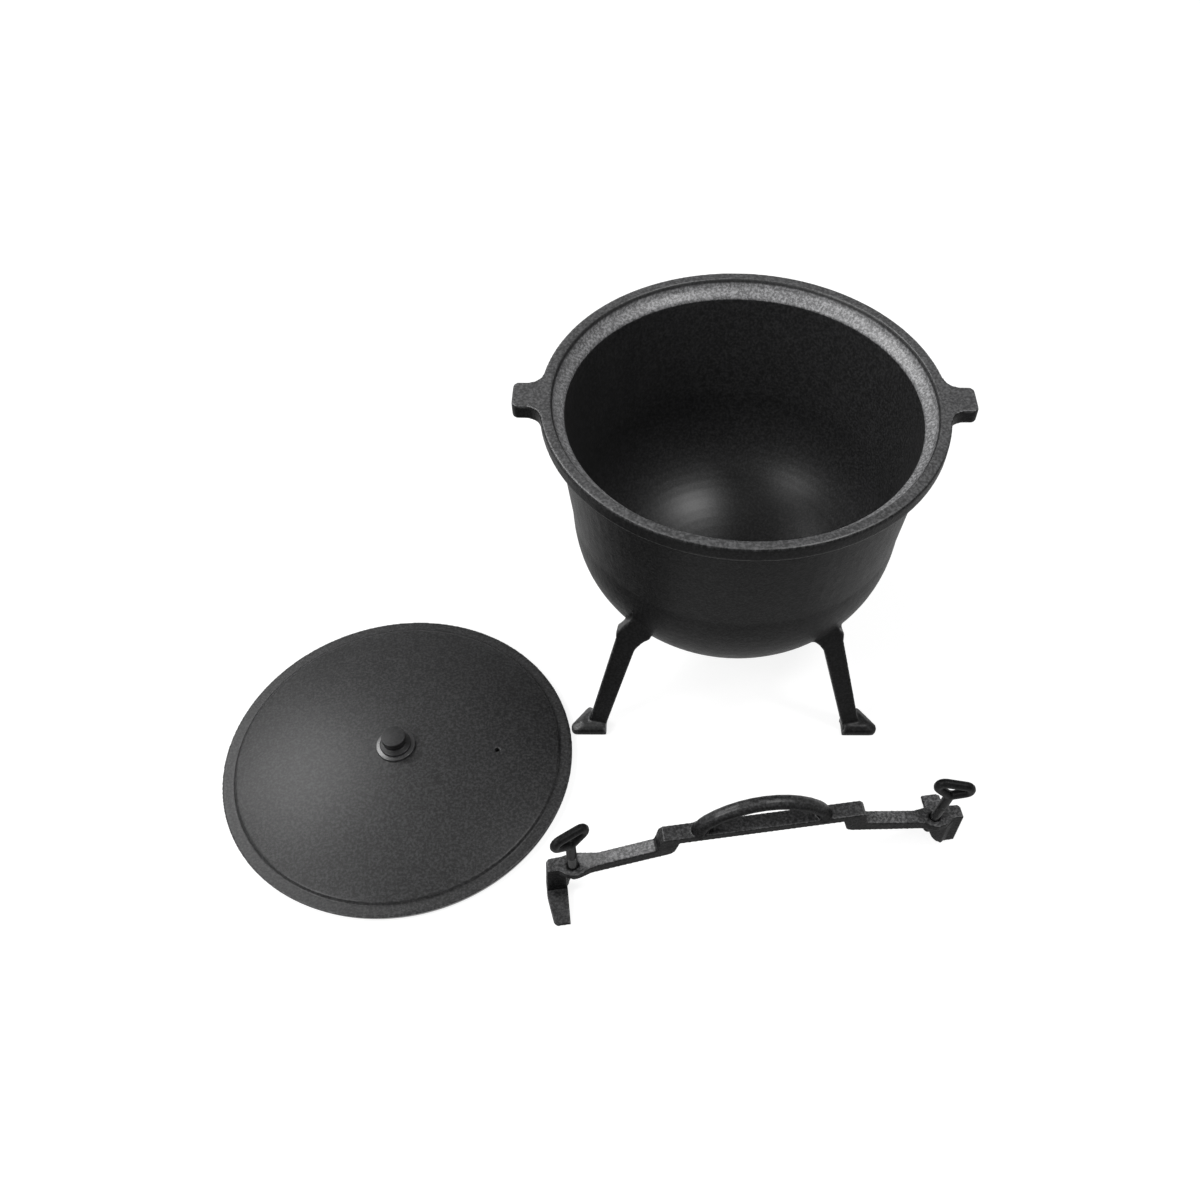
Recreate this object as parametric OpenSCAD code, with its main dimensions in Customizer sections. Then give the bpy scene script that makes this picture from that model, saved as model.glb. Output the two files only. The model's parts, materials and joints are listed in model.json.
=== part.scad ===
// Cast iron cooking pot on four legs. Its lid is taken off and lies beside it, and so does the
// clamp bar whose two claws turn in under the ears while its two thumbscrews press on the lid.
// Millimetres, +Z up, everything stands or lies on the plane z = 0.

/* [Pot rim] */
// Radius of the rim, out to the edge of its flange
rim_r = 165; // [150:1:185]
// Height of the rim above the ground
rim_h = 280; // [260:1:320]
// Thickness of the rim flange and of the ears
flange_t = 13; // [10:0.5:16]
// How far the flange stands out past the bowl under it
overhang = 11.5; // [8:0.5:14]
// Width of the flat ring on top of the rim
ring_w = 9.2; // [8:0.1:11]
// Drop from the ring to the lid seat
seat_drop = 6.9; // [5:0.1:9]
// How much the drop narrows on its way down
seat_draft = 2.6; // [1:0.1:3.4]
// Width of the sloping lid seat
seat_w = 7.5; // [5:0.1:9]
// Fall of the sloping lid seat across its width
seat_fall = 6; // [4:0.1:8]
// Radius that rounds the outer edges of the flange
edge_round = 1.6; // [0.8:0.1:2.5]

/* [Bowl] */
// Wall thickness of the bowl
wall = 6.5; // [5:0.1:8]
// How much the bowl narrows from the flange down to its shoulder
bowl_taper = 9.6; // [6:0.1:13]
// Height of the shoulder, where the wall starts to turn in
shoulder_h = 168; // [155:1:185]
// Clear height under the middle of the bowl
bowl_clear = 46; // [38:1:56]
// Squareness of the round bottom in height
bottom_up = 2.55; // [2.3:0.05:2.8]
// Squareness of the round bottom in width
bottom_out = 2.06; // [1.9:0.02:2.3]
// Radius of the fillet between the flange and the bowl
neck_fillet = 5; // [3:0.5:8]

/* [Ears] */
// How far an ear stands out past the rim
ear_out = 21.5; // [16:0.5:28]
// Width of an ear at its tip
ear_w = 29; // [22:0.5:36]
// Radius of the ear's outer corners
ear_corner = 5.5; // [2:0.5:9]
// Radius of the fillets between an ear and the rim
ear_fillet = 13; // [8:0.5:16]

/* [Legs] */
// How far the middle of an ankle stands out past the bowl's shoulder
ankle_out = 30.7; // [24:0.1:38]
// Angle of an ankle from the front-to-back line of the pot
leg_angle = 42; // [39:0.5:46]
// How far the middle of a knee stands out from the bowl behind it
knee_out = 10.4; // [8:0.1:13]
// Angle of a knee from the front-to-back line of the pot
knee_angle = 39; // [37:0.5:43]
// Height of the knee
knee_h = 106; // [102:1:110]
// Angle of a leg's flat front from the line through both ears
leg_face = 9.5; // [4:0.5:16]
// How far all four legs are cast to the left of the bowl's axis
leg_offset = 6.4; // [0:0.1:8]
// Width of a leg at the ankle
ankle_w = 16; // [14:0.5:20]
// Width of a leg at the knee
knee_w = 19; // [16:0.5:23]
// Thickness of a leg from front to back
leg_t = 11; // [10:0.5:15]
// How far the root of a leg flares in along the bowl
root_flare = 9.5; // [6:0.5:14]
// Height over which the root flares
flare_rise = 17; // [12:0.5:22]
// Thickness of a foot at its edge
foot_t = 6.5; // [5:0.5:9]
// Rise of the foot's top from its edge up to the ankle
foot_rise = 4.5; // [2:0.5:7]
// Reach of a toe out from the ankle
toe_out = 24.6; // [20:0.2:26]
// Radius of a toe
toe_r = 6; // [3:0.5:8]
// Distance from the ankle to the straight front of its foot
foot_front = 12.6; // [10:0.2:15]
// Distance from the ankle to the back corner of its foot
foot_back = 15.5; // [12:0.5:18]

/* [Lid] */
// Gap between the lid and the ring, all round
lid_gap = 1; // [0.6:0.1:2]
// Width of the lid's flat flange
lid_flange_w = 12.2; // [10:0.2:16]
// Thickness of the lid's flange
lid_flange_t = 8.5; // [7:0.5:11]
// Height of the step from the flange up to the disc
lid_step = 2.5; // [1.5:0.1:4]
// How much the disc rises to the middle of the lid
lid_dome = 5.5; // [3:0.5:9]
// Thickness of the lid's disc
lid_t = 6; // [5:0.5:8]
// Diameter of the steam hole
steam_d = 4; // [3:0.5:7]
// Distance of the steam hole from the middle of the lid
steam_r = 88.5; // [60:0.5:110]

/* [Knob] */
// Height of the knob above its washer
knob_h = 27; // [20:0.5:31]
// Diameter of the knob's head
knob_d = 22.6; // [18:0.2:28]
// Diameter of the knob's neck
knob_neck_d = 18.6; // [14:0.2:24]
// Height of the knob's head
knob_head_h = 11; // [8:0.5:14]
// Diameter of the knob's foot
knob_foot_d = 29; // [26:0.5:36]
// Height of the knob's foot
knob_foot_h = 3; // [2:0.5:5]
// Diameter of the knob's washer
washer_d = 34; // [30:0.5:42]
// Thickness of the knob's washer
washer_t = 2; // [1.5:0.5:4]
// Diameter of the knob's stud
stud_d = 8; // [6:1:10]
// Width across the flats of the nut under the lid
nut_af = 13; // [12:0.5:17]
// Thickness of the nut under the lid
nut_t = 5.5; // [4:0.5:7]

/* [Clamp bar] */
// Length of the clamp bar over both claws
bar_len = 353.4; // [346:0.2:364]
// Width of the bar's arms and of its middle
bar_w = 12; // [10:0.5:15]
// Height of the raised middle's top above the ground
middle_top = 73; // [66:0.5:80]
// Thickness of the raised middle
middle_t = 8; // [7:0.5:11]
// Length of the raised middle
middle_len = 168; // [150:1:180]
// Height of the inner end of an arm above the ground
arm_top = 57.5; // [54:0.5:60]
// Thickness of an arm
arm_t = 9; // [7:0.5:11]
// Height of the top of the end bosses above the ground
boss_top = 41.5; // [38:0.5:45]
// Thickness of the end bosses
boss_t = 7; // [6:0.5:9]
// Width of the round eyes that the screws go through
eye_w = 20.5; // [18:0.5:24]
// Length of the end bosses
boss_len = 35; // [34:0.5:38]
// Chamfer of the bar's outer back corners
boss_corner = 2.5; // [1:0.5:4]
// Distance of the left screw from the middle of the bar
left_at = 155.2; // [150:0.1:156]
// Distance of the right screw from the middle of the bar
right_at = 152; // [150:0.1:156]

/* [Claws] */
// Width of a claw along the bar
claw_w = 15.2; // [13:0.2:17]
// How far a claw's wall reaches in front of the bar's centre line
wall_front = 3.6; // [2:0.2:5]
// How far a claw's wall reaches behind the bar's centre line
wall_back = 8.4; // [6:0.2:10]
// Reach of a claw's lip from its wall
lip_out = 29.7; // [24:0.1:36]
// How much a lip narrows towards its tip, on each side
lip_taper = 0.8; // [0:0.1:2]
// Thickness of a claw's lip at its root
lip_t = 7; // [5:0.5:9]
// Thickness of a claw's lip at its tip
lip_tip_t = 4; // [3:0.5:6]

/* [Carrying handle] */
// Thickness of the arched carrying handle
handle_d = 11.5; // [9:0.5:14]
// Width of the carrying handle across the bar
handle_w = 12.5; // [10:0.5:14]
// Swelling of the handle at its roots, as a share of its section
handle_swell = 0.25; // [0:0.05:0.4]
// Height of the arch's centre line above the middle's top
handle_rise = 30; // [26:1:36]
// Half the span of the arch's centre line
handle_half = 52; // [46:1:58]
// Radius of the tight bends at both ends of the arch
handle_bend = 22; // [14:1:26]

/* [Thumbscrews] */
// Outer diameter of a screw's thread
screw_d = 8; // [7:0.5:8.5]
// Clearance round a screw in its hole
screw_fit = 0.06; // [0.02:0.01:0.1]
// Height of the lower end of a screw above the ground
screw_low = 18; // [16:0.5:22]
// Height of the lower end of a loop's neck above the ground
neck_low = 57; // [56:0.5:62]
// Length of the neck below the loop
neck_h = 20.2; // [17:0.1:23]
// Diameter of the neck
neck_d = 8.4; // [8:0.1:10]
// Diameter of the screw's stub that sits in the neck
stub_d = 5; // [4:0.5:6]
// Length of the screw's stub
stub_l = 9; // [6:0.5:12]
// Gap that the neck leaves above the screw's shoulder and above its stub
neck_gap = 0.1; // [0.05:0.05:0.3]
// Thickness of the loop's round bar
loop_d = 8; // [7:0.5:9]
// Radius of the bends in the loop, to the middle of its bar
loop_bend = 5; // [4.5:0.1:5.2]
// Width of the triangular loop, over everything
loop_w = 35.2; // [33:0.2:42]
// Height of the loop's top bar above its lower bend
loop_h = 15.6; // [15:0.1:20]
// Turn of the left loop about its screw
left_turn = 25.7; // [-90:0.1:90]
// Turn of the right loop about its screw
right_turn = -13; // [-90:0.1:90]
// Lean of the right screw and of its hole, outwards
right_lean = 8.5; // [0:0.1:9]

/* [Layout] */
// Gap between the outlines of the lid and of the rim, seen from above
lid_away = 25.5; // [24:0.5:60]
// Angle at which the lid lies in front of the line through both ears
lid_bearing = 29.68; // [24:0.02:34]
// How far the bar's middle lies to the right of the pot's axis
bar_right = 15.5; // [10:0.5:40]
// Distance of the bar's middle in front of the rim
bar_away = 106.5; // [100:0.5:130]
// Turn of the bar from the line through both ears
bar_turn = 8.4; // [0:0.1:12]

/* [Hidden] */
$fn = 64;
sweep_sides = 14;
// How far joined solids reach into each other, and a cut past a face
overlap = 1;

// The rim, the seat, and how far into the rim an ear reaches
ear_root = 2.5;
bowl_r = rim_r - overhang;
ring_r = rim_r - ring_w;
seat_r = ring_r - seat_draft;
mouth_r = seat_r - seat_w;
mouth_h = rim_h - seat_drop - seat_fall;
shoulder_r = bowl_r - bowl_taper;
bottom_steps = 22;

// The legs: how far a root goes up above the knee, how far its outer edge goes straight up, how far
// it turns in above that, how far over the knee the flare ends, and a length past the whole leg
leg_reach = 140;
ankle_r = shoulder_r + ankle_out;
knee_r = bowl_at(knee_h) + knee_out;
root_over = 32;
root_straight = 8;
root_turn_in = 20;
flare_over = 6;
flare_steps = 5;
// The foot's top as a share of its plan
foot_slope = 0.62;

// The lid, which drops into the rim with its gap
lid_r = ring_r - lid_gap;
lid_low_r = seat_r - lid_gap;
disc_r = lid_r - lid_flange_w;
disc_h = lid_flange_t + lid_step;
lid_top = disc_h + lid_dome;
lid_boss_r = washer_d / 2 + 1.5;
lid_edge = 0.8;
lid_rings = 14;
// How much further in than the disc's edge its underside starts, and the hollow's foot
under_in = 2;
hollow_in = 3;
dome_sphere = (disc_r * disc_r + lid_dome * lid_dome) / (2 * lid_dome);
stud_fit = 0.2;
nut_seat = disc_at(lid_boss_r) - lid_t;
stud_low = nut_seat - nut_t - 1;
// Radii of the knob's foot, of its neck and of its head, and the slope under the head
foot_round = 1.2;
neck_round = 2;
head_round = 2.2;
head_slope = 2;

// The clamp bar
bar_half = bar_len / 2;
middle_half = middle_len / 2;
boss_low = boss_top - boss_t;
boss_in = bar_half - boss_len;
hole_d = screw_d + 2 * screw_fit;
step_corner = 3;
step_run = 4;
step_under = 8;
boss_ramp = 8;
end_edge = 1;

// An end of the bar seen from above: how far the eye's widest place is past the start of the boss,
// how much the arm has widened there in front and at the back, points of the eye's front edge as
// steps along the bar and shares of half its width, where it meets the wall, places of its back
// edge, and how far that edge bulges
eye_at = boss_in + 11.2;
arm_widens = [0.6, 2];
eye_front = [[-5, 0.86], [0, 1], [7.5, 0.83]];
eye_wall = 14;
eye_back = [11, 4, -3];
eye_bulge = 0.6;

// A hole's countersink: how deep it goes, how tall its cone is and how much wider it gets
sink_deep = 1.5;
sink_h = 2;
sink_wider = 4;

// The claws: how far a gusset's face is from the bar's centre line, how far its low corner and its
// bend stand in from the wall and their heights, where its foot ends inside the wall, how far it
// starts past the start of the boss, and the room that it leaves round the screw
claw_in = bar_half - claw_w;
lip_end = wall_front + lip_out;
lip_corner = 2.5;
gusset_face = 7.2;
gusset_low = [5, 10];
gusset_bend = [9.5, 17.5];
gusset_foot = [2, 3];
gusset_start = 5;
gusset_top = 4;
gusset_fade = [1.5, 7];
screw_room = 0.8;
// The share of a lip's reach over which it is as thick as at its root
lip_level = 0.25;

// Where the whole set's box has its middle, seen from above
bar_front = rim_r + bar_away;
lid_place = -(rim_r + lid_r + lid_away) * [cos(lid_bearing), sin(lid_bearing)];
set_left = lid_place[0] - lid_r;
set_right = bar_right + bar_half * cos(bar_turn) + wall_front * sin(bar_turn);
set_back = rim_r;
set_front = -bar_front - (bar_half - lip_taper - lip_corner) * sin(bar_turn) - lip_end * cos(bar_turn);
set_mid = [(set_left + max(set_right, rim_r + ear_out)) / 2, (set_back + set_front) / 2];

// Points of an arc round a centre, from one angle to another
function arc(c, r, a0, a1, n = 8) =
    [for (i = [0:n]) let (a = a0 + (a1 - a0) * i / n) c + r * [cos(a), sin(a)]];

// Outer radius of the bowl at a height between its bottom and its shoulder
function bowl_at(h) = shoulder_r
    * pow(1 - pow((shoulder_h - h) / (shoulder_h - bowl_clear), bottom_up), 1 / bottom_out);

// Points of the round bottom, from the shoulder down to the axis
function bottom(r, top, low) = [for (i = [0:bottom_steps])
    let (s = sin(90 * i / bottom_steps))
    [i == bottom_steps ? 0 : r * pow(1 - pow(s, bottom_up), 1 / bottom_out), top - (top - low) * s]];

// One side of an ear's outline: the fillet from the rim, then the rounded corner at the tip
function ear_side() =
    let (cy = ear_w / 2 + ear_fillet, cx = sqrt(pow(rim_r + ear_fillet, 2) - cy * cy))
    concat([(ring_r + ear_root) * [cx, cy] / norm([cx, cy])],
           arc([cx, cy], ear_fillet, 180 + atan2(cy, cx), 270),
           arc([rim_r + ear_out - ear_corner, ear_w / 2 - ear_corner], ear_corner, 90, 0, 5));

function mirrored(points) = [for (i = [len(points) - 1:-1:0]) [points[i][0], -points[i][1]]];

module bowl_outside() {
    rotate_extrude($fn = 96)
        polygon(concat(
            [[0, rim_h], [rim_r - edge_round, rim_h]],
            arc([rim_r - edge_round, rim_h - edge_round], edge_round, 75, 0, 4),
            arc([rim_r - edge_round, rim_h - flange_t + edge_round], edge_round, 0, -90, 4),
            arc([bowl_r + neck_fillet, rim_h - flange_t - neck_fillet], neck_fillet, 90, 180, 5),
            bottom(shoulder_r, shoulder_h, bowl_clear)));
}

module bowl_inside() {
    rotate_extrude($fn = 96)
        polygon(concat(
            [[0, rim_h + 1], [ring_r, rim_h + 1], [ring_r, rim_h], [seat_r, rim_h - seat_drop],
             [mouth_r, mouth_h]],
            bottom(shoulder_r - wall, shoulder_h, bowl_clear + wall)));
}

module ear() {
    side = ear_side();
    translate([0, 0, rim_h - flange_t])
        linear_extrude(flange_t)
            polygon(concat(side, mirrored(side)));
}

// Plan of a foot round its ankle: straight in front, with a rounded toe and a slanting back
function foot_plan() = concat(
    [[-ankle_w / 2, -foot_front]],
    arc([toe_out - toe_r, toe_r - foot_front], toe_r, -90, 35, 7),
    arc([ankle_w / 2, foot_back - toe_r / 2], toe_r / 2, 30, 100, 3),
    [[-ankle_w / 2, leg_t / 2]]);

// Where a leg's middle has moved at its knee, in the frame of its flat front
function leg_lean() =
    let (k = knee_r * [sin(knee_angle), -cos(knee_angle)] - ankle_r * [sin(leg_angle), -cos(leg_angle)])
    [k * [cos(leg_face), sin(leg_face)], k * [-sin(leg_face), cos(leg_face)]];

// A leg stands at its ankle with its flat front facing -Y. Its outline seen from the front and its
// outline seen from the side are both extruded, and what they share is the leg.
module leg() {
    lean = leg_lean();
    root_h = knee_h + root_over;
    root_lean = lean[1] * (root_h - foot_t) / (knee_h - foot_t);
    outer = lean[0] + knee_w / 2;
    inner = lean[0] - knee_w / 2;
    slope = (inner + ankle_w / 2) / (knee_h - foot_t);
    flare = [for (i = [flare_steps:-1:0])
        let (t = i / flare_steps, h = knee_h + flare_over - flare_rise * (1 - t))
        [inner + slope * (h - knee_h) - root_flare * t * t, h]];
    rotate([0, 0, leg_face])
        intersection() {
            rotate([90, 0, 0])
                linear_extrude(leg_reach, center = true)
                    polygon(concat(
                        [[-ankle_w / 2, 0], [ankle_w / 2, 0], [ankle_w / 2, foot_t], [outer, knee_h],
                         [outer, knee_h + root_straight], [outer - root_turn_in, root_h],
                         [flare[0][0], root_h]],
                        flare, [[-ankle_w / 2, foot_t]]));
            rotate([90, 0, 90])
                linear_extrude(leg_reach, center = true)
                    polygon([[-leg_t / 2, 0], [leg_t / 2, 0], [leg_t / 2, foot_t],
                             [root_lean + leg_t / 2, root_h], [root_lean - leg_t / 2, root_h],
                             [-leg_t / 2, foot_t]]);
        }
    hull() {
        linear_extrude(foot_t) polygon(foot_plan());
        translate([0, 0, foot_t])
            linear_extrude(foot_rise) polygon([for (p = foot_plan()) p * foot_slope]);
    }
}

// One casting: bowl, rim, two ears and four legs
module pot() {
    color("#2b2b2b")
        difference() {
            union() {
                bowl_outside();
                for (side = [0, 1]) mirror([side, 0, 0]) ear();
                translate([-leg_offset, 0, 0])
                    for (side = [0, 1], back = [0, 1])
                        mirror([side, 0, 0]) mirror([0, back, 0])
                            translate(ankle_r * [sin(leg_angle), -cos(leg_angle)]) leg();
            }
            bowl_inside();
        }
}

// Height of the disc's top at a distance from the middle of the lid
function disc_at(r) = lid_top - dome_sphere + sqrt(dome_sphere * dome_sphere - r * r);

module lid() {
    foot_r = disc_r - under_in;
    rise = [for (i = [0:lid_rings]) let (r = disc_r + (lid_boss_r - disc_r) * i / lid_rings)
            [r, disc_at(r)]];
    under = [for (i = [lid_rings:-1:0]) let (r = foot_r + (lid_boss_r - foot_r) * i / lid_rings)
             [r, disc_at(r) - lid_t]];
    color("#3c3c3c")
        difference() {
            rotate_extrude($fn = 96)
                polygon(concat(
                    [[lid_low_r, 0], [lid_r, lid_flange_t - lid_edge], [lid_r - lid_edge, lid_flange_t],
                     [disc_r + lid_edge, lid_flange_t]],
                    rise, [[lid_boss_r, lid_top], [0, lid_top], [0, nut_seat]],
                    under, [[disc_r - hollow_in, 0]]));
            translate([0, 0, -overlap])
                cylinder(d = stud_d + 2 * stud_fit, h = lid_top + 2 * overlap);
            translate([steam_r, 0, -overlap]) cylinder(d = steam_d, h = lid_top + 2 * overlap);
        }
}

module knob_washer() {
    color("#4a4a4a")
        translate([0, 0, lid_top])
            difference() {
                cylinder(d = washer_d, h = washer_t);
                translate([0, 0, -overlap])
                    cylinder(d = stud_d + 2 * stud_fit, h = washer_t + 2 * overlap);
            }
}

// Turned knob with its stud in one piece
module lid_knob() {
    foot = lid_top + washer_t;
    top = foot + knob_h;
    color("#3a3a3a")
        rotate_extrude()
            polygon(concat(
                [[0, stud_low], [stud_d / 2, stud_low], [stud_d / 2, foot], [knob_foot_d / 2, foot]],
                arc([knob_foot_d / 2 - foot_round, foot + knob_foot_h - foot_round], foot_round, 0, 90, 4),
                arc([knob_neck_d / 2 + neck_round, foot + knob_foot_h + neck_round], neck_round,
                    270, 180, 4),
                [[knob_neck_d / 2, top - knob_head_h], [knob_d / 2, top - knob_head_h + head_slope]],
                arc([knob_d / 2 - head_round, top - head_round], head_round, 0, 90, 5),
                [[0, top]]));
}

module knob_nut() {
    color("#4a4a4a")
        translate([0, 0, nut_seat - nut_t])
            difference() {
                cylinder(d = nut_af / cos(30), h = nut_t, $fn = 6);
                translate([0, 0, -overlap])
                    cylinder(d = stud_d + 2 * screw_fit, h = nut_t + 2 * overlap);
            }
}

// Right half of the bar's side outline: raised middle, step, sloping arm and end boss
function bar_side() = [
    [0, middle_top], [middle_half - step_corner, middle_top], [middle_half, middle_top - step_corner],
    [middle_half + step_run / 2, arm_top + step_run / 2], [middle_half + step_run, arm_top],
    [boss_in, boss_top + step_corner], [boss_in + boss_ramp, boss_top],
    [bar_half - end_edge, boss_top], [bar_half, boss_top - end_edge], [bar_half, boss_low],
    [boss_in + boss_ramp / 2, boss_low], [boss_in - boss_ramp, boss_top + step_corner - arm_t],
    [middle_half - step_under, arm_top - arm_t],
    [middle_half - step_under - step_run, arm_top - arm_t + step_corner],
    [middle_half - 2 * step_under, middle_top - middle_t], [0, middle_top - middle_t]];

// Right half of the bar's outline seen from above, where the arm widens into the eye and the end is
// set back: first its front edge from the middle out, then its back edge from the end in
function bar_plan() =
    let (eye = eye_w / 2)
    concat([[0, -bar_w / 2], [boss_in - boss_ramp, -bar_w / 2], [boss_in, -bar_w / 2 - arm_widens[0]]],
           [for (p = eye_front) [eye_at + p[0], -p[1] * eye]],
           [[eye_at + eye_wall, -wall_front], [bar_half, -wall_front],
            [bar_half, wall_back - boss_corner], [bar_half - boss_corner, wall_back],
            [eye_at + eye_back[0], wall_back + eye_bulge], [eye_at + eye_back[1], eye + eye_bulge],
            [eye_at + eye_back[2], eye + eye_bulge], [boss_in, bar_w / 2 + arm_widens[1]],
            [boss_in - boss_ramp, bar_w / 2], [0, bar_w / 2]]);

module bar_beam() {
    side = bar_side();
    intersection() {
        rotate([90, 0, 0])
            linear_extrude(2 * eye_w, center = true)
                polygon(concat(side, [for (i = [len(side) - 1:-1:0]) [-side[i][0], side[i][1]]]));
        linear_extrude(middle_top + overlap)
            for (side = [0, 1]) mirror([side, 0, 0]) polygon(bar_plan());
    }
}

// A claw at the right end of the bar, its lip on the +Y side: an upright wall between two distances
// from the centre line, its lip on the ground and a gusset on the other side, past the screw
module claw(front, back) {
    face = max(front, gusset_face);
    top = boss_low + overlap;
    translate([claw_in, -front, 0]) cube([claw_w, front + back, top]);
    intersection() {
        rotate([90, 0, 0])
            linear_extrude(2 * face, center = true)
                polygon([[claw_in - gusset_low[0], gusset_low[1]],
                         [claw_in + gusset_foot[0], gusset_foot[1]],
                         [claw_in + gusset_fade[1], gusset_foot[1]], [claw_in + gusset_fade[1], top],
                         [boss_in + gusset_start, top], [boss_in + gusset_start, boss_low - gusset_top],
                         [claw_in - gusset_bend[0], gusset_bend[1]]]);
        linear_extrude(top)
            polygon([[boss_in, -face], [claw_in + gusset_fade[0], -face],
                     [claw_in + gusset_fade[1], -front], [claw_in + gusset_fade[1], 0], [boss_in, 0]]);
    }
    intersection() {
        linear_extrude(lip_t)
            polygon([[claw_in, back - overlap], [bar_half, back - overlap],
                     [bar_half - lip_taper, back + lip_out - lip_corner],
                     [bar_half - lip_taper - lip_corner, back + lip_out],
                     [claw_in + lip_taper, back + lip_out]]);
        rotate([90, 0, 90])
            linear_extrude(bar_half + overlap)
                polygon([[back - overlap, 0], [back + lip_out, 0], [back + lip_out, lip_tip_t],
                         [back + lip_level * lip_out, lip_t], [back - overlap, lip_t]]);
    }
}

// A bar of oval section swept through stations [x, z, angle] in the XZ plane. The angle is that of
// the outward normal, and each station's size is a share of the full width and depth.
module sweep(stations, sizes, width, depth, closed) {
    n = len(stations);
    points = [for (i = [0:n - 1], k = [0:sweep_sides - 1])
        let (t = 360 * k / sweep_sides, s = stations[i], d = sizes[i] * depth / 2 * cos(t))
        [s[0] + d * cos(s[2]), sizes[i] * width / 2 * sin(t), s[1] + d * sin(s[2])]];
    sides = [for (i = [0:(closed ? n - 1 : n - 2)], k = [0:sweep_sides - 1])
        let (j = (i + 1) % n, m = (k + 1) % sweep_sides, a = i * sweep_sides, b = j * sweep_sides)
        each [[a + k, b + k, b + m], [a + k, b + m, a + m]]];
    caps = closed ? [] : [[for (k = [0:sweep_sides - 1]) k],
                          [for (k = [sweep_sides - 1:-1:0]) (n - 1) * sweep_sides + k]];
    polyhedron(points, concat(sides, caps), convexity = 6);
}

// Stations along an arc of the XZ plane
function stations(c, r, a0, a1, n) = [for (i = [0:n]) let (a = a0 + (a1 - a0) * i / n)
    [c[0] + r * cos(a), c[1] + r * sin(a), a]];

// Arch with a wide arc over the middle, a tighter bend at each end and swelling roots
module handle() {
    top = middle_top + handle_rise;
    foot = middle_top - middle_t / 2;
    drop = top - foot;
    inset = handle_half - handle_bend;
    crown = (inset * inset + drop * drop - handle_bend * handle_bend) / (2 * (drop - handle_bend));
    turn = atan2(inset, crown - drop);
    path = concat(stations([inset, foot], handle_bend, 0, 88 - turn, 5),
                  stations([0, top - crown], crown, 90 - turn, 90 + turn, 10),
                  stations([-inset, foot], handle_bend, 92 + turn, 180, 5));
    last = len(path) - 1;
    sizes = [for (i = [0:last]) 1 + handle_swell * pow(max(0, 1 - min(i, last - i) / 4), 2)];
    sweep(path, sizes, handle_w, handle_d, false);
}

// Bring something that stands upright at the bar's middle to one of its two screws
module at_left_hole() { translate([-left_at, 0, 0]) children(); }
module at_right_hole() {
    translate([right_at, 0, boss_top]) rotate([0, right_lean, 0]) translate([0, 0, -boss_top]) children();
}

// A screw's hole with its countersink, and the room for the screw below the eye
module screw_hole() {
    translate([0, 0, boss_low - boss_t]) cylinder(d = hole_d, h = 3 * boss_t);
    translate([0, 0, boss_top - sink_deep]) cylinder(d1 = hole_d, d2 = hole_d + sink_wider, h = sink_h);
    cylinder(d = screw_d + 2 * screw_room, h = boss_low - overlap);
}

// One casting: beam, claws and carrying handle, with a hole through each end for a screw
module clamp_bar() {
    color("#2f2f2f")
        difference() {
            union() {
                bar_beam();
                claw(wall_front, wall_back);
                rotate([0, 0, 180]) claw(wall_back, wall_front);
                handle();
            }
            at_left_hole() screw_hole();
            at_right_hole() screw_hole();
        }
}

// Threaded shank of a thumbscrew, with a thinner stub on top for its loop
module screw() {
    chamfer = 1;
    color("#8d8d8d")
        rotate_extrude()
            polygon([[0, screw_low], [screw_d / 2 - chamfer, screw_low], [screw_d / 2, screw_low + chamfer],
                     [screw_d / 2, neck_low], [stub_d / 2, neck_low], [stub_d / 2, neck_low + stub_l],
                     [0, neck_low + stub_l]]);
}

// Cast head of a thumbscrew: a neck with a triangular loop of round bar on it
module loop() {
    foot = neck_low + neck_gap;
    half = (loop_w - loop_d) / 2 - loop_bend;
    low = [0, neck_low + neck_h + loop_bend];
    high = low[1] + loop_h - 2 * loop_bend;
    lean = atan2(half, high - low[1]);
    path = concat(stations(low, loop_bend, 180 + lean, 360 - lean, 5),
                  stations([half, high], loop_bend, -lean, 90, 6),
                  stations([-half, high], loop_bend, 90, 180 + lean, 6));
    color("#2f2f2f")
        difference() {
            union() {
                translate([0, 0, foot]) cylinder(d = neck_d, h = neck_h - neck_gap);
                sweep(path, [for (p = path) 1], loop_d, loop_d, true);
            }
            translate([0, 0, foot - overlap]) cylinder(d = stub_d + 2 * screw_fit, h = stub_l + overlap);
        }
}

// Places of the pot, the lid and the bar in the frame of the whole set
module at_pot() { translate([-set_mid[0], -set_mid[1], 0]) children(); }
module at_lid() { at_pot() translate(lid_place) children(); }
module at_bar() { at_pot() translate([bar_right, -bar_front, 0]) rotate([0, 0, bar_turn]) children(); }
module at_left() { at_bar() at_left_hole() rotate([0, 0, left_turn]) children(); }
module at_right() { at_bar() at_right_hole() rotate([0, 0, right_turn]) children(); }

at_pot() pot();
at_lid() lid();
at_lid() knob_washer();
at_lid() lid_knob();
at_lid() knob_nut();
at_bar() clamp_bar();
at_left() screw();  // left_screw
at_left() loop();  // left_loop
at_right() screw();  // right_screw
at_right() loop();  // right_loop
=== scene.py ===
# %% [markdown]
# # A cast iron cooking pot, its lid and its clamp bar
# The pot is a sand casting: a deep round bowl on splayed legs, with a flat ring and a sloping seat
# for the lid. The lid lies beside it, and so does the bar that clamps the lid down for travelling.
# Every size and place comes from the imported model, so the first step is to load it and leave it be.

# %% Load the frame
import json
import math

import bmesh
import bpy
from mathutils import Matrix, Vector


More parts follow.
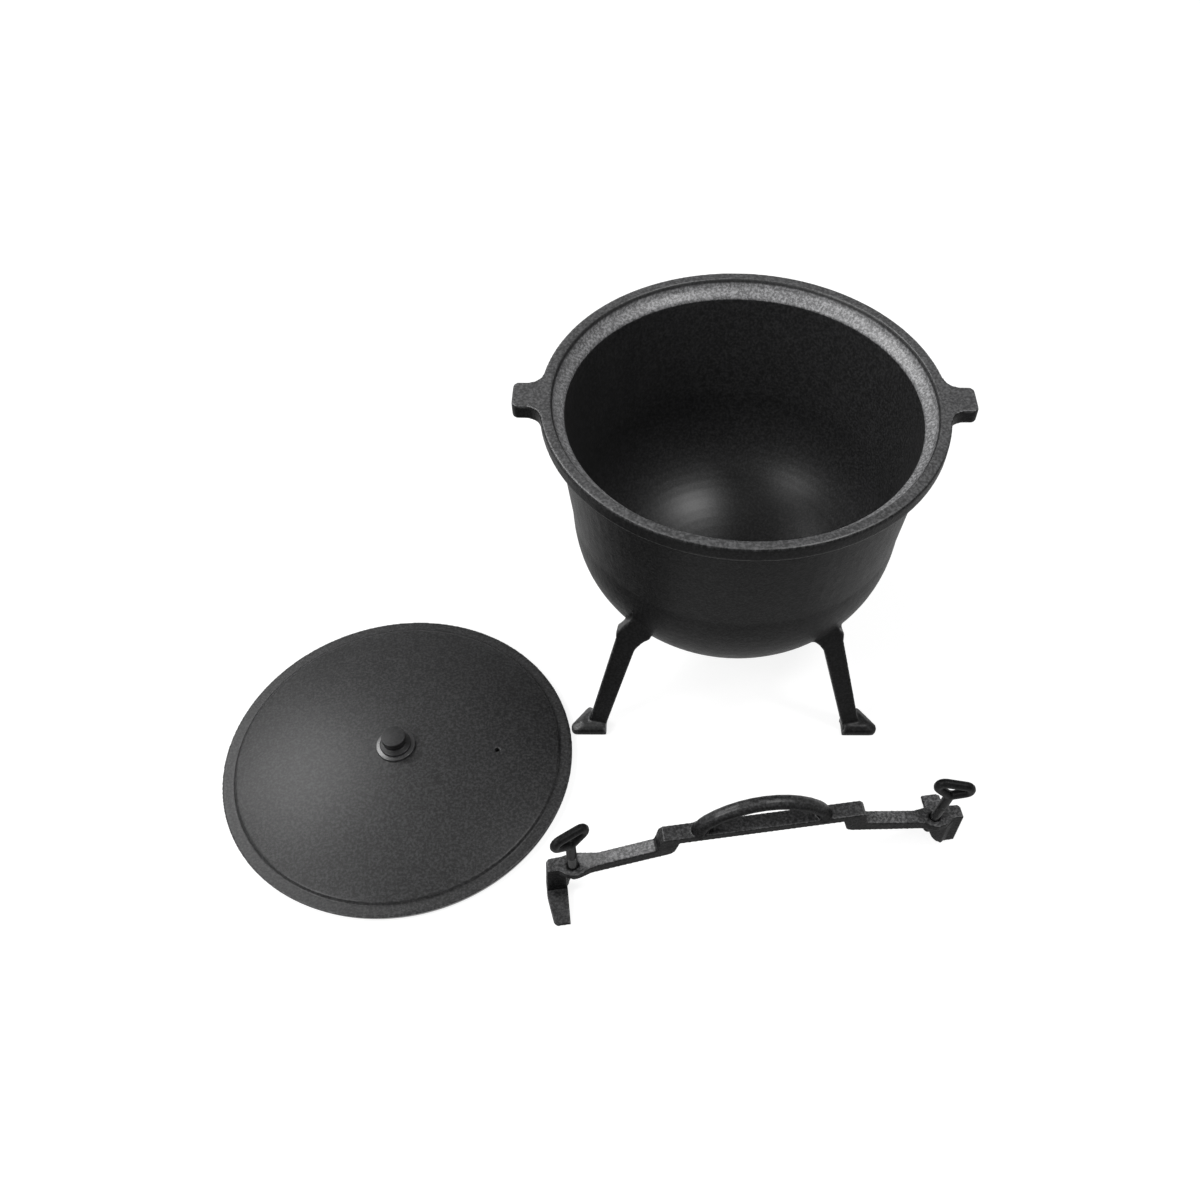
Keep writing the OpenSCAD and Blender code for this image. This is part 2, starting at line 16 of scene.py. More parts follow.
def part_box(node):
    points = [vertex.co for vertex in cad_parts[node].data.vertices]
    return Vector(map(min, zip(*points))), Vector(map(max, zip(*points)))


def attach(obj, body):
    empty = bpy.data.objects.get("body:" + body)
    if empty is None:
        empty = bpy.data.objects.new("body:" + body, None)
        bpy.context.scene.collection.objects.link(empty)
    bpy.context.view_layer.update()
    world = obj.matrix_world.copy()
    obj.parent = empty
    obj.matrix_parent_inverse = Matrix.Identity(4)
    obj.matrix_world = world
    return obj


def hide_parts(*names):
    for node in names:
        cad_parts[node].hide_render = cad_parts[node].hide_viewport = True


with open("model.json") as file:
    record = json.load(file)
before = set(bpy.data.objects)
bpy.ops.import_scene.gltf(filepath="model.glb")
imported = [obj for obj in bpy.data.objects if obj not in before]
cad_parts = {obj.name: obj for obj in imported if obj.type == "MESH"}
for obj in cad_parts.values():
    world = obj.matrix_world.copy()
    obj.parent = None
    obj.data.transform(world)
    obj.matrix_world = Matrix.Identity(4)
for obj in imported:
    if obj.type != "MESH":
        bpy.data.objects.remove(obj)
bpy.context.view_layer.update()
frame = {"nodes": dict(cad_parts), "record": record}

mm = 0.001


def middle(node):
    """The middle of a node's box, seen from above."""
    low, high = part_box(node)
    return Vector(((low.x + high.x) / 2, (low.y + high.y) / 2, 0))


pot_axis = middle("pot")
lid_axis = middle("lid")
lid_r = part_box("lid")[1].x - lid_axis.x
for name, axis in (("pot", pot_axis), ("lid", lid_axis)):
    print(name, "axis", [round(v / mm, 1) for v in axis])

# %% [markdown]
# ## The camera
# The photograph was taken from above with a fairly wide lens, and its picture was cropped off centre.
# A camera is a place, three turns, a focal length and a shift. The turns are easiest to trust when
# the view's own axes are worked out as vectors and put into a matrix: right, up, and back.

# %% The camera
PICTURE = 1200
SENSOR = 36.0
focal_px = 1127.08
lens_centre_px = (677.9, 677.3)
view_pitch = math.radians(54.245)
view_yaw = math.radians(2.641)
view_roll = math.radians(-2.389)
view_from = pot_axis + Vector((-77.659, -707.607, 878.799)) * mm

forward = Vector((math.sin(view_yaw) * math.cos(view_pitch), math.cos(view_yaw) * math.cos(view_pitch),
                  -math.sin(view_pitch)))
level = Vector((math.cos(view_yaw), -math.sin(view_yaw), 0))
down = forward.cross(level)
across = level * math.cos(view_roll) + down * math.sin(view_roll)
upward = level * math.sin(view_roll) - down * math.cos(view_roll)

camera = bpy.data.objects.new("camera", bpy.data.cameras.new("camera"))
turned = Matrix((across, upward, -forward)).transposed().to_4x4()
camera.matrix_world = Matrix.Translation(view_from) @ turned
camera.data.sensor_width = SENSOR
camera.data.lens = focal_px / PICTURE * SENSOR
camera.data.shift_x = (PICTURE / 2 - lens_centre_px[0]) / PICTURE
camera.data.shift_y = (lens_centre_px[1] - PICTURE / 2) / PICTURE
camera.data.clip_start = 0.01
bpy.context.scene.collection.objects.link(camera)
bpy.context.scene.camera = camera
print("camera lens", round(camera.data.lens, 2), "mm, looking down", round(math.degrees(view_pitch), 1))

# %% [markdown]
# ## Shader maths as expressions
# A finish is a small sum: noise times a depth, one mask minus another. Written as nodes that is a
# web, and written as Python it is one line. The class below wraps a socket, and each operator adds
# the Math node that does it. Numbers that meet only numbers stay in Python.

# %% Sockets that add up


class Field:
    """A shader socket that Python's operators work on."""

    def __init__(self, finish, socket):
        self.finish = finish
        self.socket = socket

    def math(self, operation, first, second):
        return self.finish.node("ShaderNodeMath", {"operation": operation}, {0: first, 1: second})

    def __add__(self, other):
        return self.math("ADD", self, other)

    def __radd__(self, other):
        return self.math("ADD", other, self)

    def __sub__(self, other):
        return self.math("SUBTRACT", self, other)

    def __rsub__(self, other):
        return self.math("SUBTRACT", other, self)

    def __mul__(self, other):
        return self.math("MULTIPLY", self, other)

    def __rmul__(self, other):
        return self.math("MULTIPLY", other, self)

    def __pow__(self, other):
        return self.math("POWER", self, other)

    def ramp(self, start, end, low=0.0, high=1.0):
        """Goes smoothly from low at start to high at end, and stays there."""
        return self.finish.node("ShaderNodeMapRange", {"interpolation_type": "SMOOTHSTEP"},
                                {"Value": self, "From Min": start, "From Max": end,
                                 "To Min": low, "To Max": high})


class Finish:
    """A material, and the one way in which nodes are added to it."""

    def __init__(self, name):
        self.material = bpy.data.materials.new(name)
        self.material.use_nodes = True
        self.tree = self.material.node_tree
        self.tree.nodes.clear()

    def node(self, kind, settings, sockets, output=0):
        made = self.tree.nodes.new(kind)
        for name, value in settings.items():
            setattr(made, name, value)
        for name, value in sockets.items():
            if isinstance(value, Field):
                self.tree.links.new(value.socket, made.inputs[name])
            else:
                made.inputs[name].default_value = value
        return Field(self, made.outputs[output]) if made.outputs else None

    def place(self):
        return self.node("ShaderNodeTexCoord", {}, {}, "Object")

    def facing(self):
        return self.node("ShaderNodeNewGeometry", {}, {}, "Normal")

    def split(self, vector):
        """The three parts of a vector."""
        return [self.node("ShaderNodeSeparateXYZ", {}, {"Vector": vector}, part) for part in "XYZ"]

    def noise(self, where, size, detail=2.0, rough=0.5):
        """Noise from 0 to 1 with patches about as wide as size."""
        return self.node("ShaderNodeTexNoise", {},
                         {"Vector": where, "Scale": 1 / size, "Detail": detail, "Roughness": rough})

    def blend(self, factor, first, second):
        """A colour between two greys or colours."""
        return self.node("ShaderNodeMix", {"data_type": "RGBA"}, {0: factor, 6: first, 7: second}, 2)

    def finished(self, shader):
        self.node("ShaderNodeOutputMaterial", {}, {"Surface": shader})
        return self.material


# %% [markdown]
# ## White floor, plain light
# The set stands on white. The floor is a pale grey that takes a soft shadow, and a little light of its
# own for the camera and for reflections brings it up to white. Rays that light the object don't see
# that part, so it adds nothing to the light level. Under the lid no light gets in, so there it stops,
# and the steam hole looks black.

# %% The floor
paper_grey = 0.3
paper_glow = 0.85
shade_from = lid_r - 4 * mm
shade_to = lid_r - 2 * mm


def grey(value):
    return (value, value, value, 1)


def round_axis(finish, place, axis):
    """Distance from an upright axis, and height."""
    x, y, z = finish.split(finish.node("ShaderNodeVectorMath", {"operation": "SUBTRACT"},
                                       {0: place, 1: tuple(axis)}))
    return (x * x + y * y) ** 0.5, z


def white_floor():
    finish = Finish("white_floor")
    path = finish.node("ShaderNodeLightPath", {}, {}, "Is Camera Ray")
    glossy = finish.node("ShaderNodeLightPath", {}, {}, "Is Glossy Ray")
    through = finish.node("ShaderNodeLightPath", {}, {}, "Is Transmission Ray")
    seen = path.math("MAXIMUM", path.math("MAXIMUM", path, glossy), through)
    open_floor = round_axis(finish, finish.place(), lid_axis)[0].ramp(shade_from, shade_to)
    paper = finish.node("ShaderNodeBsdfDiffuse", {}, {"Color": grey(paper_grey)})
    shine = finish.node("ShaderNodeEmission", {},
                        {"Color": grey(1), "Strength": paper_glow * seen * open_floor})
    return finish.finished(finish.node("ShaderNodeAddShader", {}, {0: paper, 1: shine}))


def floor_sheet():
    shape = bmesh.new()
    bmesh.ops.create_grid(shape, x_segments=1, y_segments=1, size=6.0)
    mesh = bpy.data.meshes.new("floor")
    shape.to_mesh(mesh)
    shape.free()
    floor = bpy.data.objects.new("floor", mesh)
    bpy.context.scene.collection.objects.link(floor)
    mesh.materials.append(white_floor())


floor_sheet()

# %% [markdown]
# ## Lamps
# Dark iron has hardly any colour of its own, so its shape is drawn by what it reflects. A wide soft
# panel hangs behind and to the left, and its reflection grades the lid from light to dark. A second
# one, on the left and in front, lights the fronts of the pot, the legs and the claws. A small one high
# on the right puts the bright spot on the bottom of the bowl.

# %% The lamps


def panel(name, azimuth, height, distance, size, power):
    """A square soft light that looks at the set. Its azimuth goes clockwise from straight behind and
    its height up from the floor, both in degrees. The rest is in metres and watts."""
    data = bpy.data.lights.new(name, "AREA")
    data.size = size
    data.energy = power
    lamp = bpy.data.objects.new(name, data)
    turn = math.radians(azimuth)
    rise = math.radians(height)
    toward = Vector((math.sin(turn) * math.cos(rise), math.cos(turn) * math.cos(rise), math.sin(rise)))
    lamp.location = toward * distance
    lamp.rotation_euler = toward.to_track_quat("Z", "Y").to_euler()
    bpy.context.scene.collection.objects.link(lamp)


panel("back_left_panel", azimuth=-60, height=48, distance=2.2, size=0.9, power=20)
panel("overhead_panel", azimuth=102, height=64, distance=2.0, size=0.36, power=11)
panel("left_panel", azimuth=-120, height=46, distance=2.4, size=0.8, power=23)


def sky(light_level):
    """An even white sky. The camera sees it as white, and as light it has light_level."""
    world = bpy.data.worlds.new("studio")
    world.use_nodes = True
    tree = world.node_tree
    background = tree.nodes["Background"]
    background.inputs["Color"].default_value = grey(1)
    path = tree.nodes.new("ShaderNodeLightPath")
    strength = tree.nodes.new("ShaderNodeMapRange")
    strength.inputs["To Min"].default_value = light_level
    strength.inputs["To Max"].default_value = 1.0
    tree.links.new(path.outputs["Is Camera Ray"], strength.inputs["Value"])
    tree.links.new(strength.outputs["Result"], background.inputs["Strength"])
    bpy.context.scene.world = world


sky(light_level=0.3)
bpy.context.scene.view_settings.view_transform = "Standard"

# %% [markdown]
# ## Cast iron
# Sand leaves its own grain on iron: millimetre bumps over the whole skin, with shallow waves under
# them and a little soot in the hollows. Both patterns are noise on Object coordinates, so they run on
# over every edge of the casting. Corners that get rubbed are lighter, and Blender's Pointiness finds
# them on a dense mesh.

# %% The cast iron finish
sand_size = 2.2 * mm
sand_depth = 0.3 * mm
lump_size = 9 * mm
lump_depth = 0.35 * mm
cloud_size = 60 * mm
flat_point = 0.505
sharp_point = 0.56
edge_wear = 0.55


def cast_iron(name, tone, lighter_tone, rough, grain=1.0, rubbed_or_lit_part=None, shine=0.3, coat_and_lightening=0.0,
              film_rough=0.38):
    """Iron as it leaves the sand. The mask of lighter metal and the coat are functions of the finish
    and place, and the coat can be a number too. The lighter mask marks rubbed or cut metal, and in some
    places painted light. The coat sets Coat Weight and also lightens the base colour; where it is a
    mask of faces that look up, that lightening is painted light from above."""
    finish = Finish(name)
    place = finish.place()
    sand = finish.noise(place, sand_size, 4, 0.7)
    lumps = finish.noise(place, lump_size, 3, 0.55)
    clouds = finish.noise(place, cloud_size, 3, 0.6)
    edge = finish.node("ShaderNodeNewGeometry", {}, {}, "Pointiness").ramp(flat_point, sharp_point)
    lightened = edge * edge_wear
    if rubbed_or_lit_part:
        lightened = lightened.math("MAXIMUM", lightened, rubbed_or_lit_part(finish, place))
    if callable(coat_and_lightening):
        coat_and_lightening = coat_and_lightening(finish, place)
    specks = sand.ramp(0.4, 0.66, -0.4, 0.6)
    # The coat's share of this lightens the base colour. Where the coat is a mask of faces that look up,
    # that is painted light from above.
    shade = (0.6 + 0.3 * clouds + 0.9 * grain * specks) * (1 + 1.6 * coat_and_lightening)

    def shaded(value, blue):
        """The grey of that value, a little bluer, and shaded like the skin."""
        return finish.node("ShaderNodeCombineColor", {},
                           {0: value * shade, 1: value * shade, 2: value * blue * shade})

    # Towards the lighter tone where the lighter mask is: rubbed metal, and in some places painted light
    # or a painted reflection.
    colour = finish.blend(lightened.ramp(0, 1), shaded(tone, 1.03), shaded(lighter_tone, 1.02))
    height = sand * (sand_depth * grain) + lumps * (lump_depth * grain)
    bump = finish.node("ShaderNodeBump", {}, {"Strength": 1.0, "Distance": 1.0, "Height": height},
                       "Normal")
    shader = finish.node("ShaderNodeBsdfPrincipled", {},
                         {"Base Color": colour, "Roughness": rough + 0.12 * lumps - 0.1 * lightened,
                          "Specular IOR Level": shine, "Coat Weight": coat_and_lightening,
                          "Coat Roughness": film_rough, "Normal": bump})
    return finish.finished(shader)


# %% [markdown]
# ## Castings
# A casting is one piece of iron, and sand can't hold a knife edge: each corner is rounded and each
# joint of leg and bowl has a small fillet. Bevelling hundreds of odd edges by hand would be slow. A
# voxel remesh of a copy turns the whole form into one even skin, and smoothing that skin rounds every
# corner by the same millimetre or two, as the sand does.

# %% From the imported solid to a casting


def show(name, mesh, body, replaced, material):
    """Puts a finished mesh in the scene in place of a node."""
    piece = bpy.data.objects.new(name, mesh)
    bpy.context.scene.collection.objects.link(piece)
    mesh.materials.clear()
    mesh.materials.append(material)
    mesh.shade_smooth()
    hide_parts(replaced)
    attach(piece, body)
    print(name, len(mesh.polygons), "faces")
    return piece


def casting(node, body, voxel, rounding, triangles, material, reshape=None):
    """A copy of a node with an even skin and rounded corners. reshape says how far a point moves."""
    shape = bmesh.new()
    shape.from_mesh(frame["nodes"][node].data)
    bmesh.ops.remove_doubles(shape, verts=shape.verts, dist=0.002 * mm)
    if reshape:
        for vert in shape.verts:
            vert.co += reshape(vert.co)
    mesh = bpy.data.meshes.new(node)
    shape.to_mesh(mesh)
    shape.free()
    blank = bpy.data.objects.new("blank", mesh)
    bpy.context.scene.collection.objects.link(blank)
    skin = blank.modifiers.new("skin", "REMESH")
    skin.mode = "VOXEL"
    skin.voxel_size = voxel
    soft = blank.modifiers.new("soft", "SMOOTH")
    soft.factor = 0.5
    soft.iterations = rounding
    evaluated = blank.evaluated_get(bpy.context.evaluated_depsgraph_get())
    count = sum(len(p.vertices) - 2 for p in evaluated.data.polygons)
    thin = blank.modifiers.new("thin", "DECIMATE")
    thin.ratio = min(1, triangles / count)
    evaluated = blank.evaluated_get(bpy.context.evaluated_depsgraph_get())
    skinned = bpy.data.meshes.new_from_object(evaluated)
    bpy.data.objects.remove(blank)
    return show(node + "_casting", skinned, body, node, material)


# %% [markdown]
# ## The pot
# The ring on top of the rim and the seat under it are cut smooth, so that the lid sits tight. They are
# lighter than the black skin around them, partly as cut iron and partly as a painted reflection. The
# mask for it is a band of radius and height round the pot's own axis. Inside, faces that look up or
# inward have a coat and a lighter base colour, most on the left of the bowl's bottom: painted light,
# and there a painted highlight.

# %% The pot
rim_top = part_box("pot")[1].z
seat_out = 155 * mm
seat_in = 144.5 * mm
seat_low = rim_top - 14 * mm
# Where the coat and its painted highlight fill the bowl's bottom: full on the left, thinner to the
# right, and full again higher up the walls.
highlight_pool_full_x = -25 * mm
highlight_pool_thin_x = 15 * mm
highlight_pool_z_from = 70 * mm
highlight_pool_z_to = 110 * mm
axis_near = 1 * mm


def seat_cut_and_painted_reflection(finish, place):
    """The lighter ring and seat for the lid: cut metal, and a painted reflection of the bright
    surroundings.
    """
    far, high = round_axis(finish, place, pot_axis)
    band = far.ramp(seat_in - 0.6 * mm, seat_in + 0.6 * mm)
    top = high.ramp(seat_low - 1 * mm, seat_low + 0.5 * mm)
    ring = high.ramp(rim_top - 1.2 * mm, rim_top - 0.4 * mm, 0.0, 0.27)
    seat = far.ramp(seat_out, seat_out - 1 * mm, 0.0, 0.78)
    return band * top * high.math("MAXIMUM", ring, seat)


def coat_and_painted_light_inside(finish, place):
    """The coat where the skin looks up or towards the pot's axis, fuller left of the middle on the
    bowl's bottom. The same mask lightens the base colour, which is painted light, and on the left of
    the bottom a painted highlight."""
    x, y, z = finish.split(finish.node("ShaderNodeVectorMath", {"operation": "SUBTRACT"},
                                       {0: place, 1: tuple(pot_axis)}))
    out_x, out_y, up = finish.split(finish.facing())
    outward = (x * out_x + y * out_y) * (x * x + y * y + axis_near ** 2) ** -0.5
    # A painted highlight on the left of the bowl's bottom, where the coat is fuller.
    pool_and_painted_highlight = x.math("MAXIMUM", x.ramp(highlight_pool_full_x, highlight_pool_thin_x, 1.0, 0.4), z.ramp(highlight_pool_z_from, highlight_pool_z_to))
    return (up - outward).ramp(-0.1, 0.4) * pool_and_painted_highlight


pot_finish = cast_iron("pot_iron", tone=0.011, lighter_tone=0.12, rough=0.42, rubbed_or_lit_part=seat_cut_and_painted_reflection, shine=0.09,
                       coat_and_lightening=coat_and_painted_light_inside, film_rough=0.4)
casting("pot", "set", voxel=1.25 * mm, rounding=5, triangles=190000, material=pot_finish)

# %% [markdown]
# ## The lid
# The lid is a flat flange, a small step and a disc that rises to the middle. The photograph shows the
# knob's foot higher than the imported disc, so the disc of this copy is domed further. The rise goes
# with the square of the distance, so the flange keeps its place and the middle goes up the most.

# %% The lid
dome_more = 11.2 * mm
flange_w = 12.2 * mm
disc_r = lid_r - flange_w


def domed(point):
    away = (Vector((point.x, point.y, 0)) - lid_axis).length / disc_r
    return Vector((0, 0, dome_more * max(0, 1 - away ** 2)))


lid_finish = cast_iron("lid_iron", tone=0.016, lighter_tone=0.06, rough=0.4, grain=1.1, shine=0.15, coat_and_lightening=0.5)
casting("lid", "set", voxel=1.1 * mm, rounding=3, triangles=150000, material=lid_finish, reshape=domed)

# %% [markdown]
# ## The clamp bar
# A rough casting with flat tops that shine where hands and grates have rubbed them. The photograph
# shows a little more iron in three places than the imported bar has: behind its raised middle, at the
# foot of the left claw's wall and round the right claw's lip. The copy's points are moved there, in the
# bar's own directions, which the record's two joints give. That lip and the raised middle's top are
# lightened too, as painted light, and every face that looks up is lightened a little, as painted light
# from above.

# %% The clamp bar
joints = {joint["name"]: joint for joint in frame["record"]["behaviour"]["joints"]}
left_hole = Vector(joints["left_screw_turn"]["pos_m"])
right_hole = Vector(joints["right_screw_turn"]["pos_m"])
bar_along = (right_hole - left_hole).normalized()
bar_back = Vector((-bar_along.y, bar_along.x, 0))
hole_to_mid = 155.2 * mm
bar_mid = left_hole + bar_along * hole_to_mid
middle_end = 80 * mm
middle_back = 5.9 * mm
bar_end = 176 * mm
claw_w = 15 * mm
right_face = 8.3 * mm
lip_tip = 30 * mm
lip_high = 8 * mm
end_more = 2.5 * mm
back_more = 1.8 * mm
tip_more = 3 * mm
arm_low = 39 * mm
arm_mid = 53 * mm
arm_high = 59 * mm
middle_high = 74.5 * mm


def fuller(point):
    """How far a point of the bar moves out."""
    away = point - bar_mid
    x = away.dot(bar_along)
    y = away.dot(bar_back)
    move = Vector((0, 0, 0))
    if abs(x) < middle_end + 7 * mm and arm_high < point.z < arm_high + 15 * mm:
        if y > middle_back:
            move += bar_back * back_more
        if x > middle_end:
            move += bar_along * end_more
    if point.z < lip_high:
        if x < -bar_end and y > -20 * mm:
            move -= bar_along * end_more
        if bar_end - claw_w < x < bar_end + 1 * mm and y > lip_tip:
            move += bar_back * tip_more
        if bar_end - claw_w < x < bar_end - claw_w + 3 * mm and y > right_face:
            move -= bar_along * end_more
    return move


def rubbed_tops_and_painted_light(finish, place):
    """The tops of both arms, where the skin has gone, more so towards the raised middle. The top of the
    raised middle and the right claw's lip are lightened too; that is painted light."""
    up = finish.split(finish.facing())[2]
    along, _, height = finish.split(place)
    lip_at = (bar_mid + bar_along * (bar_end - 2 * claw_w)).x
    # The lip and the raised middle's top are lightened as painted light, not rubbed.
    lip = height.ramp(lip_high + 4 * mm, lip_high + 2 * mm) * along.ramp(lip_at, lip_at + 4 * mm)
    middle_part = height.ramp(middle_high + 1 * mm, middle_high, 0.0, 0.25)
    patches = finish.noise(place, 3 * mm, 4, 0.7).ramp(0.3, 0.65, 0.5, 1.0)
    arms = height.ramp(arm_low + 4 * mm, arm_mid, 0.5, 1.0) * height.ramp(arm_high + 2 * mm, arm_high)
    tops = height.ramp(arm_low, arm_low + 2 * mm) * arms.math("MAXIMUM", arms, middle_part)
    return up.ramp(0.75, 0.95) * patches * tops.math("MAXIMUM", tops, lip)


def top_coat_and_painted_light(finish, place):
    """The coat on what looks up. Through the base colour it also lightens those faces: painted light
    from above.
    """
    return finish.split(finish.facing())[2].ramp(0.3, 0.9, 0.0, 0.75)


bar_finish = cast_iron("bar_iron", tone=0.016, lighter_tone=0.07, rough=0.42, grain=1.3,
                       rubbed_or_lit_part=rubbed_tops_and_painted_light, shine=0.05, coat_and_lightening=top_coat_and_painted_light)
casting("clamp_bar", "set", voxel=0.7 * mm, rounding=4, triangles=120000, material=bar_finish,
        reshape=fuller)

# %% [markdown]
# ## The thumbscrews' loops
# Each loop is cast with its collar and hardly catches the light, so it gets the darkest skin. Its
# voxels are finer than the pot's, because a loop is only a few millimetres thick. It rides on the
# body that turns, and its screw on the body that travels.

# %% The loops
loop_finish = cast_iron("loop_iron", tone=0.008, lighter_tone=0.05, rough=0.42, shine=0.07, coat_and_lightening=0.15)
for side in ("left", "right"):
    casting(side + "_loop", side + "_head", voxel=0.5 * mm, rounding=4, triangles=30000,
            material=loop_finish)

# %% [markdown]
# ## Turned pieces
# The knob, its washer and the screws come off a lathe. Spin is the same motion: a profile goes once
# round the axis. The profile is drawn with sharp corners, and a small curve then takes each one's
# place, as a file takes the edge off turned work.

# %% Turning


def spun(points, axis, steps):
    """A closed solid of revolution from a profile that starts and ends on the axis."""
    shape = bmesh.new()
    line = [shape.verts.new(axis + Vector((r, 0, z))) for r, z in points]
    edges = [shape.edges.new(pair) for pair in zip(line, line[1:])]
    bmesh.ops.spin(shape, geom=line + edges, cent=axis, axis=(0, 0, 1), angle=2 * math.pi, steps=steps,
                   use_merge=True)
    bmesh.ops.remove_doubles(shape, verts=shape.verts, dist=0.001 * mm)
    bmesh.ops.recalc_face_normals(shape, faces=shape.faces)
    return shape


def rounded(points, radius, steps=4):
    """The profile with each inner corner replaced by an arc of about that radius."""
    out = [points[0]]
    for before, corner, after in zip(points, points[1:], points[2:]):
        corner = Vector(corner)
        a = Vector(before) - corner
        b = Vector(after) - corner
        cut = min(radius, a.length * 0.45, b.length * 0.45)
        a = corner + a.normalized() * cut
        b = corner + b.normalized() * cut
        for i in range(steps + 1):
            t = i / steps
            out.append(tuple(a * (1 - t) ** 2 + corner * (2 * t * (1 - t)) + b * t ** 2))
    out.append(points[-1])
    return out


def as_mesh(shape, name):
    mesh = bpy.data.meshes.new(name)
    shape.to_mesh(mesh)
    shape.free()
    return mesh


# %% [markdown]
# ## The knob, its washer and its nut
# These sit on the lid's raised middle, so they go up with it. The photograph shows a short knob with
# a foot a little wider than its head. The nut is a washer with six sides.

# %% The knob, its washer and its nut
knob_low, knob_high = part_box("lid_knob")
washer_low, washer_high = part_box("knob_washer")
nut_low, nut_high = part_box("knob_nut")
on_dome = Vector((0, 0, dome_more))
stud_r = 4 * mm
knob_r = 10.5 * mm
neck_r = 9.3 * mm
foot_r = 13.6 * mm
knob_h = 13.5 * mm
head_h = 6 * mm
foot_h = 2.5 * mm
foot_slope = 1 * mm
head_slope = 1.2 * mm
knob_corner = 0.8 * mm
knob_foot = washer_high.z
knob_top = knob_foot + knob_h

knob_points = [(0, knob_low.z), (stud_r, knob_low.z), (stud_r, knob_foot), (foot_r, knob_foot),
               (foot_r, knob_foot + foot_h), (neck_r, knob_foot + foot_h + foot_slope),
               (neck_r, knob_top - head_h), (knob_r, knob_top - head_h + head_slope),
               (knob_r, knob_top), (0, knob_top)]
knob_finish = cast_iron("knob_iron", tone=0.015, lighter_tone=0.05, rough=0.3, grain=0.5, shine=0.07, coat_and_lightening=0.5)
knob_shape = spun(rounded(knob_points, knob_corner), lid_axis + on_dome, steps=96)
show("turned_knob", as_mesh(knob_shape, "turned_knob"), "set", "lid_knob", knob_finish)

steel_finish = cast_iron("fixing_steel", tone=0.016, lighter_tone=0.04, rough=0.25, grain=0.2, shine=0.6,
                         coat_and_lightening=0.6)


def ring(name, node, low, high, outer, inner, steps):
    """A plate with a hole, turned or with flat sides."""

    def circle(radius, height):
        place = Matrix.Translation(lid_axis + on_dome + Vector((0, 0, height)))
        return bmesh.ops.create_circle(shape, segments=steps, radius=radius, matrix=place)["verts"]

    shape = bmesh.new()
    circle(outer, low)
    top = bmesh.ops.extrude_edge_only(shape, edges=shape.edges[:])
    verts = [v for v in top["geom"] if isinstance(v, bmesh.types.BMVert)]
    bmesh.ops.translate(shape, verts=verts, vec=(0, 0, high - low))
    inner_rings = [circle(inner, z) for z in (low, high)]
    for z, verts in zip((low, high), inner_rings):
        loop = {e for v in verts for e in v.link_edges}
        rim = [e for e in shape.edges if e not in loop
               and all(abs(v.co.z - z - dome_more) < 0.01 * mm for v in e.verts)]
        bmesh.ops.bridge_loops(shape, edges=list(loop) + rim)
    walls = {e for verts in inner_rings for v in verts for e in v.link_edges
             if e.other_vert(v) in verts}
    bmesh.ops.bridge_loops(shape, edges=list(walls))
    bmesh.ops.recalc_face_normals(shape, faces=shape.faces)
    sharp = [e for e in shape.edges
             if len(e.link_faces) == 2 and e.calc_face_angle() > math.radians(50)]
    bmesh.ops.bevel(shape, geom=sharp, offset=0.4 * mm, offset_type="OFFSET", segments=2, profile=0.5,
                    affect="EDGES", material=-1)
    return show(name, as_mesh(shape, name), "set", node, steel_finish)


washer_r = (washer_high.x - washer_low.x) / 2
nut_r = (nut_high.x - nut_low.x) / 2
washer_bore = 4.2 * mm
nut_bore = 4.06 * mm
ring("turned_washer", "knob_washer", washer_low.z, washer_high.z, washer_r, washer_bore, steps=64)
ring("hex_nut", "knob_nut", nut_low.z, nut_high.z, nut_r, nut_bore, steps=6)

# %% [markdown]
# ## The screws
# A thread is a zigzag that climbs by one pitch while it goes once round, which spin does when it is
# given a step upward as well. Two flat cuts then give it its ends. Each shank is made upright at the
# origin and then laid on its own axis, which the record's joint gives: the right one leans. Its lower
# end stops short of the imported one's, as the photograph shows nothing of it under the arm.

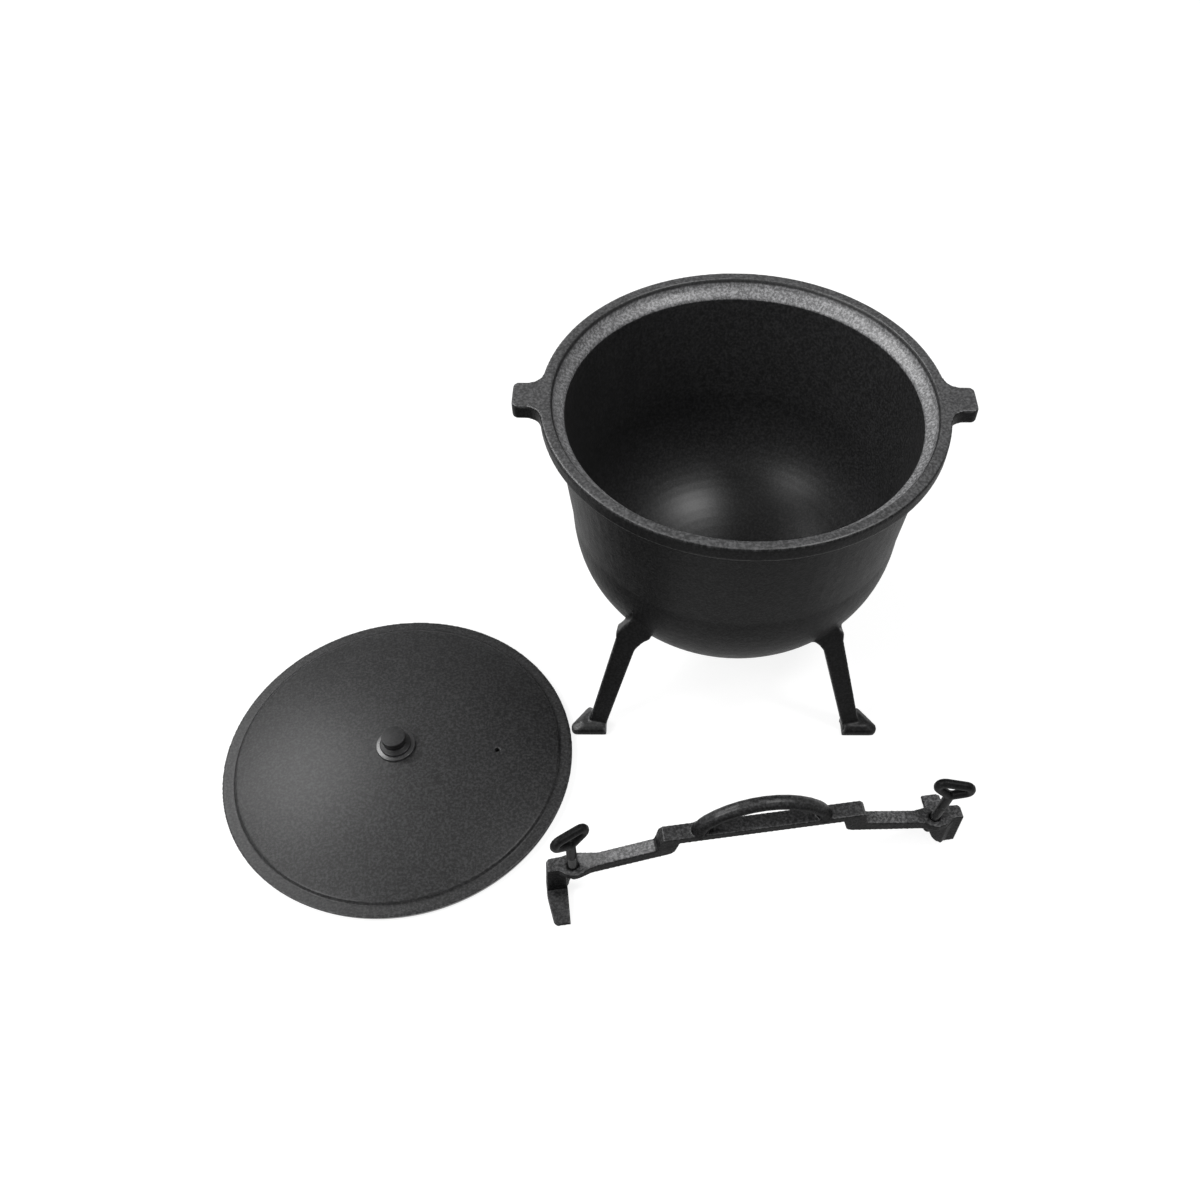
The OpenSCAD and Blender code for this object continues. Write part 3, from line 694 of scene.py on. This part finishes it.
# %% The screws
thread_pitch = 1.25 * mm
thread_depth = 0.7 * mm
thread_flat = 0.12
crest_at = 0.5
screw_r = 4 * mm
stub_r = 2.5 * mm
stub_l = 9 * mm
end_up = 4 * mm


def threaded(side):
    node = side + "_screw"
    joint = joints[side + "_screw_turn"]
    along = Vector(joint["axis"])
    point = Vector(joint["pos_m"])
    reach = [(v.co - point).dot(along) for v in frame["nodes"][node].data.vertices]
    start = min(reach) + end_up
    length = max(reach) - start - stub_l
    shape = bmesh.new()
    line = []
    for i in range(int(length / thread_pitch) + 3):
        for r, step in ((screw_r - thread_depth, 0), (screw_r - thread_depth, thread_flat),
                        (screw_r, crest_at), (screw_r, crest_at + thread_flat)):
            line.append(shape.verts.new((r, 0, (i - 1 + step) * thread_pitch)))
    edges = [shape.edges.new(pair) for pair in zip(line, line[1:])]
    steps = 40
    bmesh.ops.spin(shape, geom=line + edges, cent=(0, 0, 0), axis=(0, 0, 1), angle=2 * math.pi,
                   steps=steps, dvec=(0, 0, thread_pitch / steps), use_merge=False)
    bmesh.ops.remove_doubles(shape, verts=shape.verts, dist=0.002 * mm)
    for z, side_up in ((0, False), (length, True)):
        cut = bmesh.ops.bisect_plane(shape, geom=shape.verts[:] + shape.edges[:] + shape.faces[:],
                                     plane_co=(0, 0, z), plane_no=(0, 0, 1), clear_outer=side_up,
                                     clear_inner=not side_up)
        rim = [e for e in cut["geom_cut"] if isinstance(e, bmesh.types.BMEdge)]
        bmesh.ops.holes_fill(shape, edges=rim, sides=0)
    bmesh.ops.create_cone(shape, cap_ends=True, segments=32, radius1=stub_r, radius2=stub_r,
                          depth=stub_l, matrix=Matrix.Translation((0, 0, length + stub_l / 2)))
    bmesh.ops.recalc_face_normals(shape, faces=shape.faces)
    lay = along.to_track_quat("Z", "Y").to_matrix().to_4x4()
    lay = Matrix.Translation(point + along * start) @ lay
    bmesh.ops.transform(shape, matrix=lay, verts=shape.verts)
    return show(side + "_thread", as_mesh(shape, side + "_thread"), side + "_shank", node, screw_finish)


screw_finish = cast_iron("screw_steel", tone=0.006, lighter_tone=0.05, rough=0.12, grain=0.3, shine=0.5)
for side in ("left", "right"):
    threaded(side)
